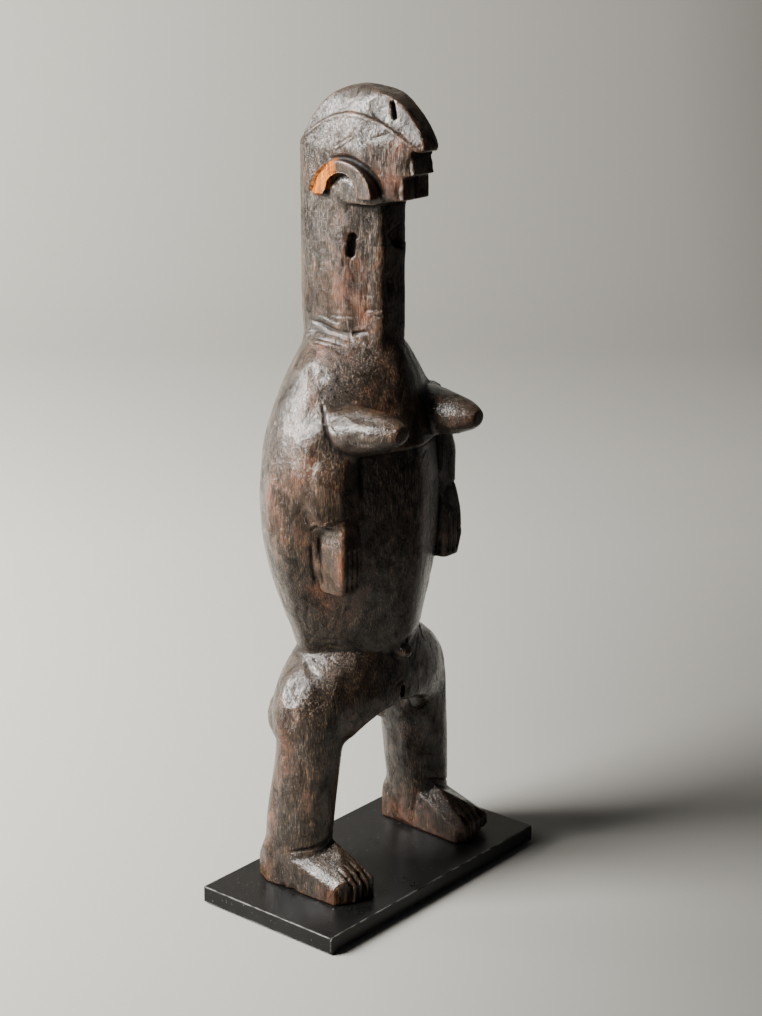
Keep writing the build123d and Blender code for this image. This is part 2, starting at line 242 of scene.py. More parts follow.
# %% The carver's tools
BROAD = 24  # passes that turn a point's own direction into that of its surroundings
class Carving:
    """The skin while it is being cut, with a tree to find points near a place."""

    def __init__(self, mesh, pts):
        self.mesh, self.p = mesh, pts
        self.refresh()

    def refresh(self):
        self.n = normals_of(self.mesh, self.p)
        self.broad = self.n.copy()
        for _ in range(BROAD):
            self.broad = averaged(self.broad, E, COUNT)
        self.broad = unit(self.broad)
        self.tree = kdtree.KDTree(len(self.p))
        for i, co in enumerate(self.p):
            self.tree.insert(co, i)
        self.tree.balance()

    def near(self, at, reach):
        return np.array([i for _, i, _ in self.tree.find_range(Vector(at), reach)], int)

    def shave(self, at, outward, along, long, wide, depth, edge=0.6):
        """Cut a flat of long x wide mm, its middle `depth` below the surface.

        Where something stands far above the flat, the blade rides over it instead.
        """
        at, outward = self.p[self.tree.find(Vector(at))[1]].copy(), unit(outward)
        found = self.near(at, max(long, wide) * 1.2)
        found = found[~held[found]] if len(found) else found
        if not len(found):
            return
        d = self.p[found] - at
        a = unit(np.asarray(along) - outward * np.dot(along, outward))
        b = np.cross(outward, a)
        oval = np.hypot(d @ a / long, d @ b / wide)
        above = d @ outward + depth
        facing = self.n[found] @ outward > 0.25
        w = (1 - ramp(oval, 1 - edge, 1.0)) * facing * (1 - ramp(above, 2.2 * depth, 4 * depth))
        self.p[found] -= (np.maximum(above, 0) * w)[:, None] * outward

    def score(self, line, width, depth, reach=5.0, ends=0.15):
        """A knife line through the given points, shallower towards both ends."""
        line = np.asarray(line, float)
        spans = np.linalg.norm(np.diff(line, axis=0), axis=1)
        total = spans.sum()
        done = 0.0
        cut, seen = {}, {}
        for start, end, span in zip(line[:-1], line[1:], spans):
            found = self.near((start + end) / 2, span / 2 + reach)
            if not len(found):
                done += span
                continue
            v = self.p[found] - start
            t = np.clip(v @ (end - start) / span**2, 0, 1)
            v = v - t[:, None] * (end - start)
            n = self.broad[found]
            lift = (v * n).sum(1)
            off = np.linalg.norm(v - lift[:, None] * n, axis=1)
            s = (done + t * span) / total
            taper = np.minimum(1, np.minimum(s, 1 - s) / ends) ** 0.6 if ends else 1.0
            amount = depth * taper * np.exp(-((off / width) ** 2)) * (np.abs(lift) < reach)
            for i, value in zip(found, amount):
                if abs(value) > abs(cut.get(i, 0.0)):
                    cut[i] = value
            done += span
        if cut:
            index = np.fromiter(cut, int)
            value = np.fromiter(cut.values(), float)
            keep = ~held[index]
            self.p[index[keep]] -= value[keep, None] * self.n[index[keep]]

    def ease(self, at, reach, passes):
        """Average the skin round a point, less towards the rim."""
        weight = 0.5 * (1 - ramp(np.linalg.norm(self.p - np.array(at), axis=1), 0.55 * reach, reach))
        for _ in range(passes):
            self.p += weight[:, None] * (averaged(self.p, E, COUNT) - self.p)

    def swell(self, at, reach, amount, outward=None, flat=1.0):
        """Push the surface out by `amount` at a point, fading over `reach`."""
        at = np.asarray(at, float)
        found = self.near(at, reach * 2.2)
        if not len(found):
            return
        d = self.p[found] - at
        d[:, 2] *= flat
        w = np.exp(-((d**2).sum(1)) / reach**2)
        way = self.broad[found] if outward is None else unit(outward)
        self.p[found] += amount * w[:, None] * way


carve = Carving(mesh, P)
print("tools ready")

# %% [markdown]
# ## Body masses
#
# Above the line under the breasts the chest stands a little proud of the belly, as a low
# ledge. The shoulder has its own roundness and the elbow stands out. The soft hollow along
# each forearm is cut deeper.

# %% Body masses
def on_side(side, line):
    """Places measured from the middle plane, on the left (side 1) or the right (side -1)."""
    return [(MID + side * x, y, z) for x, y, z in line]


x, y, z = (carve.p[:, 0] - MID), carve.p[:, 1], carve.p[:, 2]
front = ramp(-carve.broad[:, 1], 0.15, 0.6) * (np.abs(x) < 30)
ledge = ramp(z, 218.6, 220.4) * (1 - ramp(z, 221, 240)) * front * (y > -34)
carve.p[:, 1] -= 1.9 * ledge

for side in (-1, 1):
    # a hollow runs down beside the belly, from the breast to the hand
    down = [(28.0, -18.5, z0) for z0 in (222, 214, 206, 198)]
    carve.score(on_side(side, down), 1.7, 1.3, reach=4, ends=0.3)
    # the shoulder turns to the chest along a soft ridge, and the elbow stands out
    carve.swell((MID + side * 40.0, 1.0, 241.0), 9.0, 0.9)
    carve.swell((MID + side * 45.0, -12.0, 207.0), 7.5, 1.1)
# crease round the root of each breast
for root in (
    [(-36.5, -4.5, 239), (-39, -9.4, 232), (-38, -13.2, 225), (-32.5, -17.8, 220)],
    [(38.5, -0.6, 243), (40.5, -6.5, 236), (41, -11, 229), (38.5, -15.2, 222), (33.5, -18, 218)],
):
    carve.score(root, 1.5, 0.9)
carve.refresh()
print("masses done")


# %% [markdown]
# ## Flats left by the blade
#
# A knife leaves shallow flats, longer along the grain than across it. The grain runs up the
# block, so most flats are upright ovals. Each is set at a random point of the skin, on the
# broad direction the surface has there, and sinks a few tenths of a millimetre. A bump
# pattern would shade like flats but leave the outline smooth, so they are cut.

# %% Flats
def random_flats(count, long, wide, depth, where, lean=0.35):
    """Scatter knife flats over the points that `where` picks."""
    choices = np.flatnonzero(where & ~held)
    for i in rng.choice(choices, count, replace=False):
        outward = carve.broad[i] + rng.normal(0, 0.035, 3)
        along = np.array([rng.normal(0, lean), rng.normal(0, lean), 1.0])
        if abs(carve.broad[i][2]) > 0.75:
            along = np.array([rng.normal(0, 1), rng.normal(0, 1), 0.1])
        size = rng.uniform(0.7, 1.25)
        carve.shave(carve.p[i], outward, along, long * size, wide * size, depth * rng.uniform(0.6, 1.3))


x, y, z = (carve.p[:, 0] - MID), carve.p[:, 1], carve.p[:, 2]
inner = np.abs(x) < 26
fingers = (np.abs(x) > 25) & (z > 154) & (z < 194) & (y < 0)
breast = (y < -19) & (z > 214) & (z < 246)
body = (z > 122) & (z < 260) & ~fingers & ~breast
limbs = (z > 44) & (z < 112)
random_flats(150, 17, 8.0, 0.20, body & ~inner)
random_flats(50, 24, 7.0, 0.14, body & inner)
random_flats(36, 9, 5.0, 0.16, breast)
random_flats(120, 14, 6.0, 0.20, limbs)
random_flats(26, 16, 5.0, 0.12, (z > 272) & (z < 326))
random_flats(26, 9, 5.0, 0.12, z >= 356)

# the larger flats that catch the light
for at, outward, along, long, wide, depth in (
    ((-48.6, 8.0, 103.5), (-0.75, -0.25, 0.62), (0, 0, 1), 11, 8, 0.5),
    ((-51.6, 4.5, 95.0), (-0.92, -0.3, 0.15), (0.1, 0, 1), 10, 8, 0.5),
    ((-43.5, -5.5, 101.0), (-0.55, -0.75, 0.35), (0, 0, 1), 11, 9, 0.45),
    ((-38.0, 4.0, 114.0), (-0.35, -0.3, 0.88), (0.6, 1, 0), 10, 7, 0.4),
    ((56.0, 6.0, 100.0), (0.8, -0.3, 0.5), (0, 0, 1), 12, 8, 0.5),
    ((-33.5, 3.0, 249.0), (-0.66, -0.35, 0.66), (0, 0, 1), 14, 8, 0.4),
    ((-42.0, -2.0, 236.0), (-0.8, -0.5, 0.25), (0, 0, 1), 14, 8, 0.4),
    ((-36.0, -27.0, 239.0), (-0.45, -0.1, 0.88), (0, 1, 0), 13, 7, 0.35),
    ((-38.5, -24.0, 229.0), (-0.95, -0.3, -0.05), (0, 1, 0), 13, 7, 0.3),
    ((35.0, -27.0, 238.5), (0.4, -0.2, 0.88), (0, 1, 0), 12, 7, 0.3),
):
    carve.shave(at, outward, along, long, wide, depth)
# the arm's root and the elbow are rubbed soft again, then one deep cut follows the arm
for side in (-1, 1):
    carve.ease((MID + side * 43.0, 2.0, 238.5), 13.0, 70)
    carve.ease((MID + side * 51.5, 1.0, 204.5), 13.0, 40)
carve.refresh()
arm_cut = [(-34.0, -3.5, 243.0), (-37.0, -6.5, 237.5), (-39.2, -9.8, 231.5), (-38.0, -13.4, 224.8)]
carve.score(arm_cut, 0.8, 1.0)
carve.refresh()
print("flats done")

# %% [markdown]
# ## Face, coiffure and ears
#
# The cap of hair is shaved back a hair's breadth behind its lower border, which is left
# standing as a fine ridge that catches the light. Fine scored lines fan over the temple. The
# mouth is one upright cut. A narrow slot is cut into the crest on the right side only. All of
# it could be separate strips laid on the head, but on the real one it is the same wood.

# %% Coiffure, face and ears
# the border from brow to nape: five places fix one smooth arch
BORDER = np.polyfit([-36, -21, -4, 11, 31], [351.5, 361.5, 368, 366, 352], 4)


def above_border(y, z):
    """Height over the coiffure's lower border, which runs as an arch over the temple."""
    return z - np.polyval(BORDER, y)


x, y, z = (carve.p[:, 0] - MID), carve.p[:, 1], carve.p[:, 2]
over = above_border(y, z)
onside = ramp(np.abs(carve.broad[:, 0]), 0.05, 0.3) * ramp(y, -37, -33) * (z > 345)
# the crown is shaved back to the border, which is left standing as a fine ridge
carve.p -= (0.75 * ramp(over, -0.2, 0.9) * (1 - ramp(over, 2, 11)) * onside)[:, None] * carve.broad
carve.p += (0.35 * np.exp(-(((over + 0.9) / 0.9) ** 2)) * onside)[:, None] * carve.broad
carve.refresh()

# each line, its width and depth, and how much of it tapers at either end
TEMPLE_LINES = (
    ([(9.5, -20.0, 361.0), (14.5, -11.5, 357.6)], 0.55, 0.5, 0.3),
    ([(15.8, -5.5, 358.6), (16.5, 3.6, 352.8), (16.5, 6.5, 351.2)], 0.5, 0.45, 0.15),
    ([(15.8, -3.0, 359.2), (16.5, 6.5, 353.2)], 0.45, 0.4, 0.15),
    ([(15.6, -6.1, 359.3), (15.8, -8.7, 356.4), (14.6, -12.5, 353.3), (12.6, -17.5, 349.0)], 0.5, 0.45, 0.15),
    ([(14.0, -14.0, 350.5), (11.0, -22.0, 346.0)], 0.45, 0.35, 0.3),
    ([(12.0, -19.0, 342.0), (9.5, -26.0, 339.5)], 0.45, 0.3, 0.3),
    ([(13.5, -15.0, 358.0), (11.0, -21.0, 353.0)], 0.4, 0.25, 0.3),
)


def ear_arch(start, stop, step, wide, tall, height):
    """Places along the ear's arch, as (y, z)."""
    turn = np.radians(np.arange(start, stop, step))
    return [(1.5 + wide * math.cos(t), height + tall * math.sin(t)) for t in turn]


for side in (-1, 1):
    for line, width, depth, ends in TEMPLE_LINES:
        carve.score(on_side(side, line), width, depth, ends=ends)
    # groove between the ear and the cheek
    rim = [(16.2 - 0.4 * max(0, -8 - a), a, b) for a, b in ear_arch(66, 182, 8, 18.8, 16.8, 332.0)]
    carve.score(on_side(side, rim), 1.1, 1.5, reach=4.0, ends=0.2)
    # the ear is hollowed under its rim
    bowl = [(16.4, a, b) for a, b in ear_arch(20, 164, 12, 9.6, 9.6, 332.6)]
    carve.score(on_side(side, bowl), 1.9, 2.0, reach=4.0, ends=0.25)
    # ragged edge where cheek meets nose and mouth
    nose = [(7.6, -29.8, 351.0), (8.4, -28.6, 347.0), (7.7, -29.8, 343.0)]
    carve.score(on_side(side, nose), 1.2, 0.9, ends=0.2)
    lip = [(9.6, -25.0, 340.0), (10.2, -23.6, 336.0), (9.6, -24.8, 332.0)]
    carve.score(on_side(side, lip), 1.1, 0.7, ends=0.2)
# mouth
carve.score([(MID, -27.0, 341.0), (MID + 0.3, -27.0, 336.0), (MID, -27.0, 330.0)], 0.8, 2.2, ends=0)
# slot in the crest, right side, in two strokes
for _ in range(2):
    carve.score([(-3.5, -17.9, 374.6), (-4.4, -18.9, 371.2), (-5.0, -20.2, 366.4)], 0.75, 1.5, ends=0.12)
# jaw line at the top of the neck
for side in (-1, 1):
    carve.score(on_side(side, [(13.0, -17.0, 331.5), (10.5, -22.0, 331.3)]), 0.8, 0.5, ends=0.3)
print("face done")

# %% [markdown]
# ## Broken ear
#
# The right ear has lost its rear half. The break runs down to the side of the head, fibrous
# and still orange, because no hand has darkened it yet. A point belongs to the break if it
# lies in the patch; the mask is kept for the material. The fibres are two sine waves across
# the split: they cost nothing and run along the grain, as torn wood does.

# %% Broken ear
fresh = np.zeros(COUNT)


def in_patch(a, b, corners):
    """Which points (a, b) lie inside a closed outline."""
    inside = np.zeros(len(a), bool)
    for (a0, b0), (a1, b1) in zip(corners, corners[1:] + corners[:1]):
        if b0 == b1:
            continue
        hit = ((b0 > b) != (b1 > b)) & (a < (a1 - a0) * (b - b0) / (b1 - b0) + a0)
        inside ^= hit
    return inside


x, y, z = carve.p[:, 0], carve.p[:, 1], carve.p[:, 2]
outline = [
    (19.8, 331.6), (18.4, 336.5), (15.2, 341.4), (10.8, 345.4), (6.2, 348.2),
    (4.0, 346.6), (4.6, 342.0), (8.6, 336.4), (12.8, 332.6), (15.6, 331.2),
]
broken = in_patch(y, z, outline) & (x < -11.0) & (x > -20)
proud = broken & (x < -13.2)
across = (y - 4.0) * 0.78 + (z - 332.0) * 0.62
along = -(y - 4.0) * 0.62 + (z - 332.0) * 0.78
fibre = 0.22 * np.sin(across * 5.1 + 0.8 * np.sin(along * 0.9)) + 0.16 * np.sin(across * 11.3 + along * 0.5)
slant = -15.7 + 0.055 * (y - 4.0) + 0.10 * np.abs(across - 9.0) + fibre
carve.p[proud, 0] = np.maximum(carve.p[proud, 0], slant[proud])
fresh[broken & (x < -12.6)] = 1.0
for _ in range(2):
    fresh = averaged(fresh[:, None], E, COUNT)[:, 0]
print("break:", int((fresh > 0.5).sum()), "points")

# %% [markdown]
# ## Neck
#
# Two or three passes of the knife ran round the foot of the neck, and a shallow tongue was
# split away at its front. The cuts are not quite level and do not quite meet.
#
# Lines on a round body are built from an angle or a height, not drawn freely, so that they
# stay on the surface. The tongue is a patch that is pushed in, deepest at its flat foot.

# %% Neck cuts
for z0, tilt, depth, start, stop in (
    (272.2, -1.5, 1.05, 22.0, -9.5),
    (268.6, -1.0, 0.55, 21.0, -6.0),
    (265.6, -0.6, 0.6, 17.0, 0.0),
    (263.4, -0.4, 0.45, 15.0, 2.0),
    (276.0, -1.6, 0.45, 18.0, 4.0),
    (262.0, 0.6, 0.5, 2.0, -10.0),
):
    ys = np.linspace(start, stop, 6)
    xs = 16.6 + max(0, 269 - z0) * 0.75 - 4.5 * ramp(-ys, 4, 12)
    zs = z0 + tilt * np.cos(ys * 0.12) + 0.3 * np.sin(ys * 1.7)
    for side in (-1, 1):
        carve.score(on_side(side, zip(xs, ys, zs)), 0.6, depth)
# short cuts across the right side of the neck
for z0, start, stop, depth in (
    (281.4, -6.5, -15.0, 0.6),
    (278.4, -9.0, -15.5, 0.6),
    (277.6, 12.0, -4.0, 0.35),
    (288.0, -5.0, -10.5, 0.3),
):
    ys = (start, (start + stop) / 2, stop)
    line = [(16.5 - 0.47 * max(0.0, 3.1 - a), max(a, -13.9), z0 + 0.12 * k) for k, a in enumerate(ys)]
    carve.score(on_side(-1, line), 0.45, depth)

# the notch split from the front of the neck
x, y, z = carve.p[:, 0], carve.p[:, 1], carve.p[:, 2]
tongue = [(-1.6, 315.4), (2.0, 317.2), (7.9, 319.6), (9.0, 307.4), (3.6, 308.6), (1.4, 311.0)]
notch = in_patch(x, z, tongue) & (y < -9)
carve.p[notch, 1] += 0.7 + 0.13 * (319.5 - carve.p[notch, 2])
step = (1 - ramp(z, 309.6, 310.2)) * ramp(z, 292, 309) * (y < -9) * ramp(x, -8.5, -7)
carve.p[:, 1] -= 0.45 * step
carve.score([(-1.8, -14.2, 298.0), (0.2, -14.2, 292.0), (-0.3, -14.0, 284.5)], 1.6, 1.1, ends=0.4)
carve.score([(-16.6, 1.0, 304.0), (-16.6, 1.4, 299.0)], 0.9, 0.7, ends=0.4)
carve.score([(-12.6, -3.8, 323.3), (-10.2, -12.0, 324.2)], 0.4, 0.5, ends=0.3)
carve.score([(-12.4, -5.0, 316.6), (-10.2, -12.0, 317.3)], 0.4, 0.4, ends=0.3)
carve.refresh()
print("neck done")

# %% [markdown]
# ## Hands, navel and slit
#
# The hand lies flat on the side of the belly. Three upright cuts part the fingers and one
# cut behind them parts the thumb. A raised cuff line crosses the wrist: a negative depth
# lifts the skin. Separate fingers would look modelled; here they are only parted.

# %% Hands, navel and slit
HAND_LINES = (
    # behind the hand, and the thumb
    ([(43.6, -6.2, 183.0), (43.6, -6.2, 177.0), (43.8, -6.8, 168.0), (43.0, -7.4, 158.5)], 0.85, 1.2, 0.15),
    ([(44.8, -2.6, 180.0), (43.6, -2.2, 168.0), (41.6, -2.4, 158.0)], 0.9, 0.7, 0.15),
    # the cuff: a cut, and a raised line above it
    ([(45.2, -2.0, 185.6), (46.6, -8.0, 187.4), (43.6, -14.0, 190.0), (37.0, -18.6, 192.4)], 0.7, 0.6, 0.15),
    ([(45.6, -3.0, 187.4), (46.4, -9.0, 189.6), (42.6, -15.0, 192.2)], 0.6, -0.55, 0.15),
    # scratches across the wrist and below the hand
    ([(46.0, 0.0, 193.0), (45.0, -7.0, 199.0)], 0.45, 0.35, 0.4),
    ([(47.0, 3.5, 184.0), (46.0, -2.0, 189.0)], 0.45, 0.35, 0.4),
)
FINGER = 3.4
for side in (-1, 1):
    for n, low in ((-1, 158.8), (0, 158.2), (1, 158.8)):
        gap = 36.5 + n * FINGER
        cut = [(gap, -20.2, low), (gap, -20.8, 167.0), (gap - 0.3, -20.6, 177.5)]
        for _ in range(2):
            carve.score(on_side(side, cut), 0.62, 0.8, ends=0.1)
    for line, width, depth, ends in HAND_LINES:
        carve.score(on_side(side, line), width, depth, ends=ends)

# navel: a nub with a dark pit above it and a cut below
carve.swell((MID + 1.2, -20.5, 124.6), 2.6, -1.7)
carve.score([(MID - 4.0, -19.4, 116.6), (MID + 0.5, -21.5, 114.4), (MID + 4.5, -19.4, 116.2)], 0.9, 1.0)
carve.shave((MID + 0.3, -23.2, 119.2), (0.0, -0.9, 0.35), (1, 0, 0), 4.2, 3.2, 0.55)
# slit below the belly
slit = [(MID - 0.6, -19.8, 101.0), (MID - 0.2, -19.6, 96.0), (MID, -17.0, 90.0)]
for _ in range(2):
    carve.score(slit, 1.0, 1.2, ends=0.1)
print("hands done")

# %% [markdown]
# ## Feet and toes
#
# Each foot is a wedge with a crisp inner ridge, a crease where the shin lands on it and five
# toes at its steep front. The toes are parted by two cuts each, one over the top of the
# wedge and a deeper one down its front, because one long cut would skip the corner.

# %% Feet and toes
TOE = 3.9
for side in (-1, 1):
    shin = [(57.0, 5.0, 27.5), (54.0, -3.0, 30.0), (47.5, -8.6, 32.0), (40.0, -9.8, 35.0), (33.5, -6.0, 36.0)]
    carve.score(on_side(side, shin), 0.8, 0.7)
    for n in range(1, 5):
        gap = 33.5 + n * TOE
        top = [(gap, -20.5, 25.5), (gap, -24.5, 22.5), (gap, -27.5, 20.5)]
        carve.score(on_side(side, top), 0.55, 0.7, reach=4, ends=0.2)
        steep = [(gap, -26.0, 21.5), (gap, -30.5, 18.0), (gap, -31.5, 9.5)]
        carve.score(on_side(side, steep), 0.75, 1.3, reach=5, ends=0.05)
# a nick in the near sole, and chips at the far heel
carve.swell((-53.6, 1.5, 9.4), 2.6, -1.3, outward=(-1, 0, -0.2))
carve.swell((-53.4, 7.0, 9.6), 1.6, -0.9, outward=(-1, 0, -0.2))
carve.swell((34.6, 15.0, 9.8), 2.4, -1.0, outward=(-1, 0.1, -0.2))
carve.swell((33.8, 6.0, 10.0), 1.8, -0.7, outward=(-1, 0.1, -0.2))
carve.refresh()
print("feet done")


# %% [markdown]
# ## Fine tool marks
#
# Between the flats lie hundreds of short knife strokes, mostly slanting across the grain on
# the shoulder, waist and cheek, and steeper on the belly. Each is a shallow scored line, so
# it catches the light as a real stroke does.

# %% Tool marks
def strokes(count, where, length, width, depth, slant):
    """Short scored lines over the chosen points, leaning `slant` degrees off upright."""
    choices = np.flatnonzero(where & ~held)
    for i in rng.choice(choices, count, replace=False):
        n = carve.broad[i]
        up = unit(np.array([0, 0, 1.0]) - n * n[2])
        over = np.cross(n, up)
        angle = math.radians(slant + rng.normal(0, 24)) * (1 if rng.random() < 0.7 else -1)
        way = math.cos(angle) * up + math.sin(angle) * over
        reach = length * rng.uniform(0.5, 1.4) / 2
        mid = carve.p[i] - n * reach**2 / 70
        carve.score(
            [carve.p[i] - way * reach, mid, carve.p[i] + way * reach],
            width * rng.uniform(0.8, 1.3), depth * rng.uniform(0.5, 1.5), reach=3.0, ends=0.45,
        )


x, y, z = (carve.p[:, 0] - MID), carve.p[:, 1], carve.p[:, 2]
strokes(190, (z > 120) & (z < 262) & (np.abs(x) > 24), 9, 0.5, 0.16, 35)
strokes(110, (z > 120) & (z < 262) & (np.abs(x) <= 24), 14, 0.5, 0.12, 6)
strokes(110, (z > 112) & (z < 130), 7, 0.5, 0.2, 65)
strokes(150, (z > 40) & (z < 112), 9, 0.5, 0.15, 25)
strokes(90, (z > 262) & (z < 330), 8, 0.5, 0.16, 40)
strokes(90, (z > 333), 6, 0.45, 0.13, 45)
strokes(50, (z > 11) & (z < 38), 6, 0.45, 0.13, 60)
carve.p[:, 2] = np.maximum(carve.p[:, 2], SOLE)
carve.n = normals_of(mesh, carve.p)
print("strokes done")

# %% [markdown]
# ## Where hands have been
#
# Wear follows shape: ridges are rubbed, hollows keep soot and old oil, and the hollows are
# also painted darker as shade. So it is measured on the carved skin, not drawn: `ridge` is
# high where the surface stands above its surroundings, `hollow` where it lies below them,
# over about two millimetres.

# %% Ridges and hollows
local = carve.p.copy()
for _ in range(14):
    local = averaged(local, E, COUNT)
height = ((carve.p - local) * carve.broad).sum(1)
for _ in range(2):
    height = averaged(height[:, None], E, COUNT)[:, 0]
ridge = ramp(height, 0.05, 0.42)
hollow = ramp(-height, 0.05, 0.45)
print("ridge and hollow:", round(float(ridge.mean()), 3), round(float(hollow.mean()), 3))

# %% [markdown]
# ### Red wood showing through
#
# In places the dark skin is worn right through to red wood. These places have no rule, so
# each is given one by one as a soft blob: its centre, its reach up the grain and across it.
# With `fresh`, the broken ear, that makes four masks for the material to read.

# %% Worn places and masks
rust = np.zeros(len(carve.p))
for at, tall, across in (
    ((35, 11, 15), 7, 5),  # left heel
    ((28, 2, 77), 6, 3),  # inside of the left thigh
    ((-52, 8, 78), 12, 5),  # outer edge of the right leg
    ((-51, 15, 51), 22, 4),
    ((-50, 15, 195), 16, 6),  # behind the right forearm
    ((-49, -1, 209), 7, 4),
    ((-40, -19, 171), 13, 2),  # edge of the hand
    ((-38, -3, 156), 4, 6),  # below the hand
    ((-34, -4, 149), 7, 4),
    ((8, -28, 186), 30, 2),  # ridge down the belly
    ((-11, -23, 219), 2, 5),  # under the breast
    ((-20, 6, 262), 4, 9),  # root of the neck
    ((-13, 3, 288), 8, 8),  # side of the neck
    ((-9, -6, 278), 5, 4),
    ((-12, -1, 300), 5, 5),
    ((-8, -20, 339), 4, 5),  # cheek
    ((-6, -25, 357), 5, 3),  # end of the brow
    ((-53, -22, 13), 4, 5),  # outer toe
):
    reach = np.array([across, across, tall])
    rust += np.exp(-((((carve.p - np.array(at)) / reach) ** 2).sum(1)))
rust = np.clip(rust, 0, 1)


def keep_mask(name, values):
    layer = mesh.attributes.new(name, "FLOAT", "POINT")
    layer.data.foreach_set("value", values.astype(np.float32))


keep_mask("ridge", ridge)
keep_mask("hollow", hollow)
keep_mask("fresh", fresh)
keep_mask("rust", rust)
mesh.polygons.foreach_set("use_smooth", np.ones(len(mesh.polygons), bool))
mesh.update()
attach(figure, "figure")
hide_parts("figure")
print("masks:", [layer.name for layer in mesh.attributes if layer.data_type == "FLOAT"])


# %% [markdown]
# ## The lacquered plate
#
# The plate is a sheet of wood with sprayed black lacquer. Its long edges are crisp, its
# corners have met a few shelves. A bevel modifier would round it too, but leaves too few
# points to chip. So the plate is a box cut into many small faces, whose edges are rounded by
# pulling the points back to a small radius; chips are the same flats as on the figure.

# %% Lacquered plate
def cuts(low, high, step):
    """Cutting positions along one axis, close together near both ends."""
    near = np.array([0.15, 0.3, 0.5, 0.8, 1.3, 2.2])
    inner = np.arange(low + 4, high - 4, step)
    return np.unique(np.round(np.concatenate([low + near, inner, high - near]), 3))


def rounded_slab(low, high, radius, step):
    """A box cut into faces about `step` wide, and its points with the edges rounded."""
    low, high = np.array(low, float), np.array(high, float)
    bm = bmesh.new()
    bmesh.ops.create_cube(bm, size=1.0)
    for v in bm.verts:
        v.co = Vector((low + high) / 2 + np.array(v.co) * (high - low))
    for axis in range(3):
        normal = np.eye(3)[axis]
        for at in cuts(low[axis], high[axis], step):
            everything = bm.verts[:] + bm.edges[:] + bm.faces[:]
            bmesh.ops.bisect_plane(bm, geom=everything, plane_co=at * normal, plane_no=normal)
    co = np.array([v.co for v in bm.verts])
    core = np.clip(co, low + radius, high - radius)
    off = co - core
    size = np.linalg.norm(off, axis=1, keepdims=True)
    co = np.where(size > 1e-9, core + off / np.maximum(size, 1e-9) * radius, co)
    return bm, co


ARRIS = 0.45
INSIDE = 0.59 * ARRIS  # how far a rounded edge or corner lies inside the sharp one
low, high = (np.array(c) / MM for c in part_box("base_plate"))
bm, co = rounded_slab(low, high, ARRIS, 2.0)
for at, outward, size, depth in (
    ((low[0], low[1] + 1, high[2]), (-1, -0.6, 0.8), 1.6, 0.35),
    ((low[0], -17.0, high[2]), (-1, 0, 1), 2.2, 0.12),
    ((low[0], 8.0, high[2]), (-1, 0, 1), 3.0, 0.10),
    ((high[0] - 22, low[1], low[2]), (0, -1, -1), 2.4, 0.35),
    ((high[0] - 31, low[1], low[2]), (0.2, -1, -1), 1.7, 0.30),
    ((high[0] - 12, low[1], low[2]), (0, -1, -1), 1.5, 0.25),
    ((high[0] - 44, low[1], low[2]), (0, -1, -1), 1.8, 0.20),
    ((low[0] + 40, low[1], high[2]), (0, -1, 1), 1.2, 0.15),
    ((low[0], low[1], low[2]), (-1, -1, -0.4), 2.0, 0.5),
    ((high[0], low[1], high[2]), (1, -1, 0.6), 1.6, 0.35),
):
    at, outward = np.array(at, float), unit(outward)
    d = co - at
    w = 1 - ramp(np.linalg.norm(d, axis=1), size * 0.7, size)
    above = d @ outward + depth + INSIDE
    co -= (np.maximum(above, 0) * w)[:, None] * outward
for v, c in zip(bm.verts, co):
    v.co = Vector(c) * MM
plate_mesh = bpy.data.meshes.new("plate")
bm.to_mesh(plate_mesh)
bm.free()
plate_mesh.polygons.foreach_set("use_smooth", np.ones(len(plate_mesh.polygons), bool))
plate = bpy.data.objects.new("lacquered_plate", plate_mesh)
bpy.context.scene.collection.objects.link(plate)
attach(plate, "base")
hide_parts("base_plate")
print("plate:", len(plate_mesh.vertices), "points")


# %% [markdown]
# ## Materials
#
# Colours are given as sRGB hex and turned to linear light in one place. `Nodes` is one small
# helper: it adds a node, sets its fields and joins its inputs to constants or to outputs.

# %% One helper for every material
def colour(text):
    """sRGB hex to linear RGBA."""
    parts = [int(text[i : i + 2], 16) / 255 for i in (1, 3, 5)]
    return tuple(c / 12.92 if c <= 0.04045 else ((c + 0.055) / 1.055) ** 2.4 for c in parts) + (1.0,)


class Nodes:
    """Builds one material's node tree."""

    def __init__(self, name):
        self.material = bpy.data.materials.new(name)
        self.material.use_nodes = True
        self.tree = self.material.node_tree
        self.tree.nodes.clear()

    def add(self, kind, inputs=(), out=0, stops=(), **fields):
        """One node; inputs maps a socket to a value or to another node's output.

        The stops of a colour ramp are pairs of a place and a hex colour or a grey.
        """
        node = self.tree.nodes.new("ShaderNode" + kind)
        for key, value in fields.items():
            setattr(node, key, value)
        for key, value in dict(inputs).items():
            if isinstance(value, bpy.types.NodeSocket):
                self.tree.links.new(value, node.inputs[key])
            else:
                node.inputs[key].default_value = value
        line = node.color_ramp.elements if stops else []
        while len(line) < len(stops):
            line.new(0.5)
        for item, (at, shade) in zip(line, stops):
            item.position = at
            item.color = colour(shade) if isinstance(shade, str) else (shade, shade, shade, 1)
        return node.outputs[out] if node.outputs else node


def millimetres(m):
    """Where a point lies on its piece, in millimetres."""
    return m.add("VectorMath", {0: m.add("TexCoord", out=3), 3: 1 / MM}, operation="SCALE")


def grain(m, place, per_cm, detail=3, rough=0.6, turn=(0, 0, 0), warp=0.0):
    """A noise pattern with so many lumps in each 10 mm, as threads are counted in cloth."""
    cycles = tuple(count / 10 for count in per_cm)
    at = m.add("Mapping", {"Vector": place, "Rotation": turn, "Scale": cycles})
    look = {"Vector": at, "Scale": 1.0, "Detail": detail, "Roughness": rough, "Distortion": warp}
    return m.add("TexNoise", look)


print("material helper ready")

